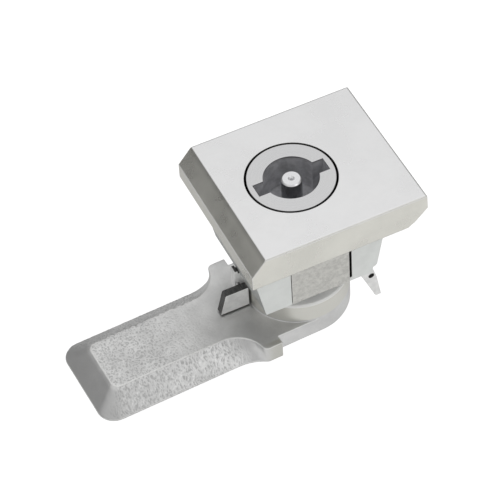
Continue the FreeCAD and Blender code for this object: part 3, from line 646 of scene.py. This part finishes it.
def on_hub_foot(edge):
    """Whether the edge lies in the corner between the hub's wall and the arm."""
    low, high = HUB_FOOT
    return not edge.is_convex and all(low < vert.co.z < high and vert.co.xy.length < HUB_FOOT_REACH
                                      for vert in edge.verts)


# The retaining plate's foot

def plate_tab(bm, outline, front, back):
    """A flat tab of the plate: its outline in x and z, in millimetres, between two depths."""
    corners = [bm.verts.new((x * MM, front, z * MM)) for x, z in outline]
    face = bm.faces.new(corners)
    made = bmesh.ops.extrude_face_region(bm, geom=[face], use_keep_orig=True)
    moved = [item for item in made["geom"] if isinstance(item, bmesh.types.BMVert)]
    bmesh.ops.translate(bm, verts=moved, vec=(0, back - front, 0))


def make_foot(bm, depth):
    """Trim the plate at its left end and set the foot there, with the low ear behind it."""
    bmesh.ops.bisect_plane(bm, geom=bm.verts[:] + bm.edges[:] + bm.faces[:], dist=0.001 * MM,
                           clear_inner=True, plane_co=(PLATE_LEFT + 0.02 * MM, 0, 0),
                           plane_no=(1, 0, 0))
    bmesh.ops.contextual_create(bm, geom=[edge for edge in bm.edges if edge.is_boundary])
    turns = [math.pi * step / EAR_NOTCH_STEPS for step in range(EAR_NOTCH_STEPS + 1)]
    notch = [(EAR_NOTCH[0] + EAR_NOTCH_RADIUS * math.cos(turn),
              EAR_NOTCH[1] + EAR_NOTCH_RADIUS * math.sin(turn)) for turn in turns]
    back = FOOT_FRONT + depth
    plate_tab(bm, FOOT_OUTLINE, FOOT_FRONT, back)
    plate_tab(bm, EAR_RIGHT + notch + EAR_LEFT, back - FOOT_OVERLAP, back + depth)
    bmesh.ops.recalc_face_normals(bm, faces=bm.faces)


def mark_punched_shade(bm):
    """Mark the cut edges of the feet, whose dark colour is partly painted shade. The ear's left
    side is plated like the faces.
    """
    punched_shade = bm.faces.layers.float.new("punched_shaded_edge")
    for face in bm.faces:
        middle = face.calc_center_median()
        on_foot = middle.x < PLATE_LEFT or middle.z < PLATE_END
        ear_side = (middle.y > EAR_FRONT and middle.z > EAR_FOOT
                    and face.normal.x < -FACING_SIDEWAYS)
        cut = on_foot and abs(face.normal.y) < FACING_FRONT and not ear_side
        face[punched_shade] = 1.0 if cut else 0.0


# The cam's cast skin

def diced(bm, faces, direction, span, pitch):
    """Cut the faces into strips across the direction, and give back what they became."""
    start, end = span
    pieces = set(faces)
    geom = list(pieces) + list({edge for face in pieces for edge in face.edges})
    geom += list({vert for face in pieces for vert in face.verts})
    for step in range(int((end - start) / pitch) + 1):
        made = bmesh.ops.bisect_plane(bm, geom=geom, dist=0.0005 * MM, plane_no=direction,
                                      plane_co=Vector(direction) * (start + step * pitch))
        geom = made["geom"]
    return [item for item in geom if isinstance(item, bmesh.types.BMFace)]


def ramp(value, span):
    """0 before the span, 1 after it, and rising evenly between."""
    start, end = span
    return min(1.0, max(0.0, (value - start) / (end - start)))


def crackle(waves, along, across, up, sway):
    """Crackled height, from -0.5 in the furrows to 0.5 on the ridges."""
    height = -0.5
    for share, width, length, down, shift, swing in waves:
        place = Vector(((along + swing * sway) / width + shift, across / length, up / down))
        height += share * (1.0 - min(1.0, RIDGE_SHARPNESS * abs(noise.noise(place))))
    return height


def cast_relief(place, normal):
    """How much of the grain and of the ripple shows at a point of the cam, and their heights."""
    along, across, up = place.dot(ARM_WAY) / MM, place.dot(ARM_ACROSS) / MM, place.z / MM
    sway = SWAY * noise.noise(Vector((along, across, up)) / SWAY_LENGTH)
    flat = ramp(normal.z, FACING_TOP) * ramp(along, GRAIN_STARTS)
    flank = ramp(abs(normal.dot(ARM_ACROSS)), FACING_FLANK) * ramp(normal.z, FACING_UP)
    flank *= ramp(along, RIPPLE_STARTS)
    rest = FAINT_GRAIN * ramp(along, RIPPLE_STARTS)
    grain = max(flat, rest) * (1.0 - flank) * crackle(GRAIN, along, across, up, sway)
    ripple = flank * crackle(RIPPLE, along, across, up, sway)
    return grain, ripple


def raise_skin(bm, detail):
    """Give the cam's arm its rough skin: a fine crackle on top, ripples down the flanks."""
    relief = bm.verts.layers.float.new("relief")
    bm.normal_update()
    moves = []
    for vert in bm.verts:
        grain, ripple = cast_relief(vert.co, vert.normal)
        vert[relief] = 0.5 + grain + ripple
        moves.append(vert.normal * (detail.cast_grain * grain + detail.cast_ripple * ripple))
    for vert, move in zip(bm.verts, moves):
        vert.co += move


# Operators: one for each piece or group of like pieces

class LOCK_OT_head(bpy.types.Operator):
    """Round the head's edges and give it its satin plate"""
    bl_idname = "cam_lock.head"
    bl_label = "Head"

    def execute(self, context):
        detail = context.scene.cam_lock_detail
        bm = merged_copy("housing")
        round_edges(bm, detail.head_edge, detail.rounding_steps, detail.sharp_angle, on_head_rim)
        round_edges(bm, detail.small_edge, 2, detail.sharp_angle)
        piece = finish_piece("housing_finished", bm, LOCK_BODY,
                             head_finish(context.scene.cam_lock_finish))
        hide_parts("housing")
        return {"FINISHED"}


class LOCK_OT_insert(bpy.types.Operator):
    """Finish the turned key insert and its pin"""
    bl_idname = "cam_lock.insert"
    bl_label = "Key insert and pin"

    def execute(self, context):
        finish, detail = context.scene.cam_lock_finish, context.scene.cam_lock_detail
        rounded_node("key_insert", detail.insert_edge, insert_finish(finish),
                     ROTOR, detail)
        rounded_node("key_pin", detail.small_edge, pin_finish(finish),
                     ROTOR, detail)
        return {"FINISHED"}


class LOCK_OT_clamp(bpy.types.Operator):
    """Finish the mounting clamp"""
    bl_idname = "cam_lock.clamp"
    bl_label = "Mounting clamp"

    def execute(self, context):
        finish, detail = context.scene.cam_lock_finish, context.scene.cam_lock_detail
        rounded_node("mounting_clamp", detail.clamp_edge, clamp_finish(finish),
                     LOCK_BODY, detail)
        return {"FINISHED"}


class LOCK_OT_plate(bpy.types.Operator):
    """Finish the retaining plate with its feet"""
    bl_idname = "cam_lock.plate"
    bl_label = "Retaining plate"

    def execute(self, context):
        detail = context.scene.cam_lock_detail
        bm = merged_copy("retaining_plate")
        make_foot(bm, detail.foot_depth)
        round_edges(bm, detail.sheet_edge, detail.rounding_steps, detail.sharp_angle)
        mark_punched_shade(bm)
        piece = finish_piece("retaining_plate_finished", bm, LOCK_BODY,
                             plate_finish(context.scene.cam_lock_finish))
        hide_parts("retaining_plate")
        return {"FINISHED"}


class LOCK_OT_cam(bpy.types.Operator):
    """Finish the cast cam"""
    bl_idname = "cam_lock.cam"
    bl_label = "Cam"

    def execute(self, context):
        detail = context.scene.cam_lock_detail
        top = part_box("cam")[1][2]
        bm = merged_copy("cam")
        bmesh.ops.remove_doubles(bm, verts=bm.verts, dist=SPECK)
        bmesh.ops.dissolve_degenerate(bm, dist=SLIVER, edges=bm.edges)
        round_edges(bm, detail.rim_edge, HUB_RIM_STEPS, detail.sharp_angle,
                    only=lambda edge: on_hub_rim(edge, top))
        round_edges(bm, detail.cast_edge, detail.rounding_steps, detail.sharp_angle)
        hub_foot = [edge for edge in bm.edges if on_hub_foot(edge)]
        bmesh.ops.bevel(bm, geom=hub_foot, offset=detail.cast_edge, offset_type="OFFSET",
                        segments=HUB_FOOT_STEPS, profile=0.5, affect="EDGES", material=-1)
        arm = [face for face in bm.faces if face.normal.z > SKIN_UPWARD
               and max(vert.co.dot(ARM_WAY) for vert in face.verts) > SKIN_ALONG[0]]
        arm = diced(bm, arm, ARM_WAY, SKIN_ALONG, detail.cast_facet)
        diced(bm, arm, ARM_ACROSS, SKIN_ACROSS, detail.cast_facet)
        raise_skin(bm, detail)
        piece = finish_piece("cam_finished", bm, ROTOR,
                             cam_finish(context.scene.cam_lock_finish), even=False)
        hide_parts("cam")
        return {"FINISHED"}


class LOCK_OT_small_parts(bpy.types.Operator):
    """Finish the screws, washers, rings, seal and gasket"""
    bl_idname = "cam_lock.small_parts"
    bl_label = "Screws, rings and seals"

    def execute(self, context):
        finish, detail = context.scene.cam_lock_finish, context.scene.cam_lock_detail
        plated = plated_finish("plated_fastener", finish.fastener_colour, (0.28, 0.42))
        spring = plated_finish("spring_steel", finish.spring_colour, (0.3, 0.5))
        rubber = rubber_finish(finish)
        for node, material, slot, body in (
                ("plate_screws", plated, "plated_fastener", LOCK_BODY),
                ("thrust_washer", plated, "plated_fastener", ROTOR),
                ("cam_washer", plated, "plated_fastener", ROTOR),
                ("cam_screw", plated, "plated_fastener", ROTOR),
                ("wave_washer", spring, "spring_steel", ROTOR),
                ("retaining_ring", spring, "spring_steel", ROTOR),
                ("cam_spring_washer", spring, "spring_steel", ROTOR),
                ("spindle_seal", rubber, "black_rubber", ROTOR),
                ("panel_gasket", rubber, "black_rubber", LOCK_BODY)):
            rounded_node(node, detail.small_edge, material, body, detail, clamp=True)
        return {"FINISHED"}


class LOCK_OT_stage(bpy.types.Operator):
    """Set the floor, the lights and the camera"""
    bl_idname = "cam_lock.stage"
    bl_label = "Stage"

    def execute(self, context):
        stage = context.scene.cam_lock_stage
        make_floor(stage)
        make_world(stage)
        for name, place, width, height, power in LAMPS:
            make_lamp(name, place, width, height, power)
        make_camera(stage)
        context.scene.view_settings.view_transform = "Standard"
        return {"FINISHED"}


# Stage

def floor_finish(stage):
    """Plain floor, lifted towards white for the camera, and for metal in front of the lock."""
    shader = Shader("floor", stage.floor_colour, 0.0, 0.9)
    shader.surface.inputs["Specular IOR Level"].default_value = 0.0
    path = shader.add("ShaderNodeLightPath").outputs
    mirrored = shader.math("MAXIMUM", path["Is Glossy Ray"], path["Is Transmission Ray"])
    in_front = shader.spread(shader.axis("Y"), 0.0, 1.0, *FLOOR_FRONT, kind="LINEAR")
    glow = shader.add("ShaderNodeEmission")
    shader.feed(glow.inputs["Strength"], shader.math(
        "ADD", shader.product(path["Is Camera Ray"], stage.floor_glow),
        shader.product(mirrored, stage.floor_sheen, in_front)))
    both = shader.add("ShaderNodeAddShader")
    shader.feed(both.inputs[0], shader.surface.outputs[0])
    shader.feed(both.inputs[1], glow.outputs[0])
    shader.feed(shader.tree.nodes["Material Output"].inputs["Surface"], both.outputs[0])
    return shader.material


def make_floor(stage):
    bm = bmesh.new()
    bmesh.ops.create_grid(bm, x_segments=1, y_segments=1, size=FLOOR_SIZE)
    bmesh.ops.translate(bm, verts=bm.verts, vec=(0, 0, -stage.floor_height))
    mesh = bpy.data.meshes.new("floor")
    bm.to_mesh(mesh)
    bm.free()
    floor = bpy.data.objects.new("floor", mesh)
    bpy.context.scene.collection.objects.link(floor)
    mesh.materials.append(floor_finish(stage))


def make_world(stage):
    """White for the camera. For the lock: dim low down, brighter in front, brightest overhead."""
    world = bpy.data.worlds.new("studio")
    world.use_nodes = True
    nodes = Nodes(world.node_tree)
    background = nodes.tree.nodes["Background"]
    background.inputs["Color"].default_value = (1, 1, 1, 1)
    direction = nodes.add("ShaderNodeTexCoord").outputs["Generated"]
    horizon = nodes.spread(nodes.part(direction, "Y"), stage.horizon_light, stage.front_light,
                           *WORLD_FRONT)
    sky = nodes.spread(nodes.part(direction, "Z"), horizon, stage.sky_light, *WORLD_HEIGHT)
    level = nodes.add("ShaderNodeMix")
    camera_ray = nodes.add("ShaderNodeLightPath").outputs["Is Camera Ray"]
    for name, value in (("Factor", camera_ray), ("A", sky), ("B", 1.0)):
        nodes.feed(level.inputs[name], value)
    nodes.feed(background.inputs["Strength"], level.outputs["Result"])
    bpy.context.scene.world = world


def make_lamp(name, place, width, height, power):
    data = bpy.data.lights.new(name, "AREA")
    data.shape = "RECTANGLE"
    data.size = width
    data.size_y = height
    data.energy = power
    lamp = bpy.data.objects.new(name, data)
    bpy.context.scene.collection.objects.link(lamp)
    turn = (Vector(LAMP_AIM) - Vector(place)).to_track_quat("-Z", "Y").to_matrix().to_4x4()
    lamp.matrix_world = Matrix.Translation(place) @ turn


def make_camera(stage):
    data = bpy.data.cameras.new("camera")
    data.lens = stage.lens
    data.sensor_width = SENSOR_WIDTH
    data.clip_start = CLIP_START
    camera = bpy.data.objects.new("camera", data)
    turn = Matrix((CAMERA_RIGHT, CAMERA_UP, CAMERA_BACK)).transposed()
    camera.matrix_world = Matrix.Translation(stage.camera_place) @ turn.to_4x4()
    bpy.context.scene.collection.objects.link(camera)
    bpy.context.scene.camera = camera


# Add-on

OPERATORS = (
    LOCK_OT_head,
    LOCK_OT_insert,
    LOCK_OT_clamp,
    LOCK_OT_plate,
    LOCK_OT_cam,
    LOCK_OT_small_parts,
    LOCK_OT_stage,
)


class LOCK_PT_panel(bpy.types.Panel):
    """Sidebar panel with the lock's pieces, sizes and colours"""
    bl_idname = "LOCK_PT_panel"
    bl_label = "Cam lock"
    bl_space_type = "VIEW_3D"
    bl_region_type = "UI"
    bl_category = "Cam lock"

    def draw(self, context):
        scene = context.scene
        for operator in OPERATORS:
            self.layout.operator(operator.bl_idname)
        for group in (scene.cam_lock_finish, scene.cam_lock_detail, scene.cam_lock_stage):
            for name in group.bl_rna.properties.keys():
                if name not in ("rna_type", "name"):
                    self.layout.prop(group, name)


CLASSES = (FinishSettings, DetailSettings, StageSettings) + OPERATORS + (LOCK_PT_panel,)


def register():
    for item in CLASSES:
        bpy.utils.register_class(item)
    bpy.types.Scene.cam_lock_finish = PointerProperty(type=FinishSettings)
    bpy.types.Scene.cam_lock_detail = PointerProperty(type=DetailSettings)
    bpy.types.Scene.cam_lock_stage = PointerProperty(type=StageSettings)


def unregister():
    del bpy.types.Scene.cam_lock_stage
    del bpy.types.Scene.cam_lock_detail
    del bpy.types.Scene.cam_lock_finish
    for item in reversed(CLASSES):
        bpy.utils.unregister_class(item)


def main():
    register()
    bpy.ops.cam_lock.head()
    bpy.ops.cam_lock.insert()
    bpy.ops.cam_lock.clamp()
    bpy.ops.cam_lock.plate()
    bpy.ops.cam_lock.cam()
    bpy.ops.cam_lock.small_parts()
    bpy.ops.cam_lock.stage()


if __name__ == "__main__":
    main()
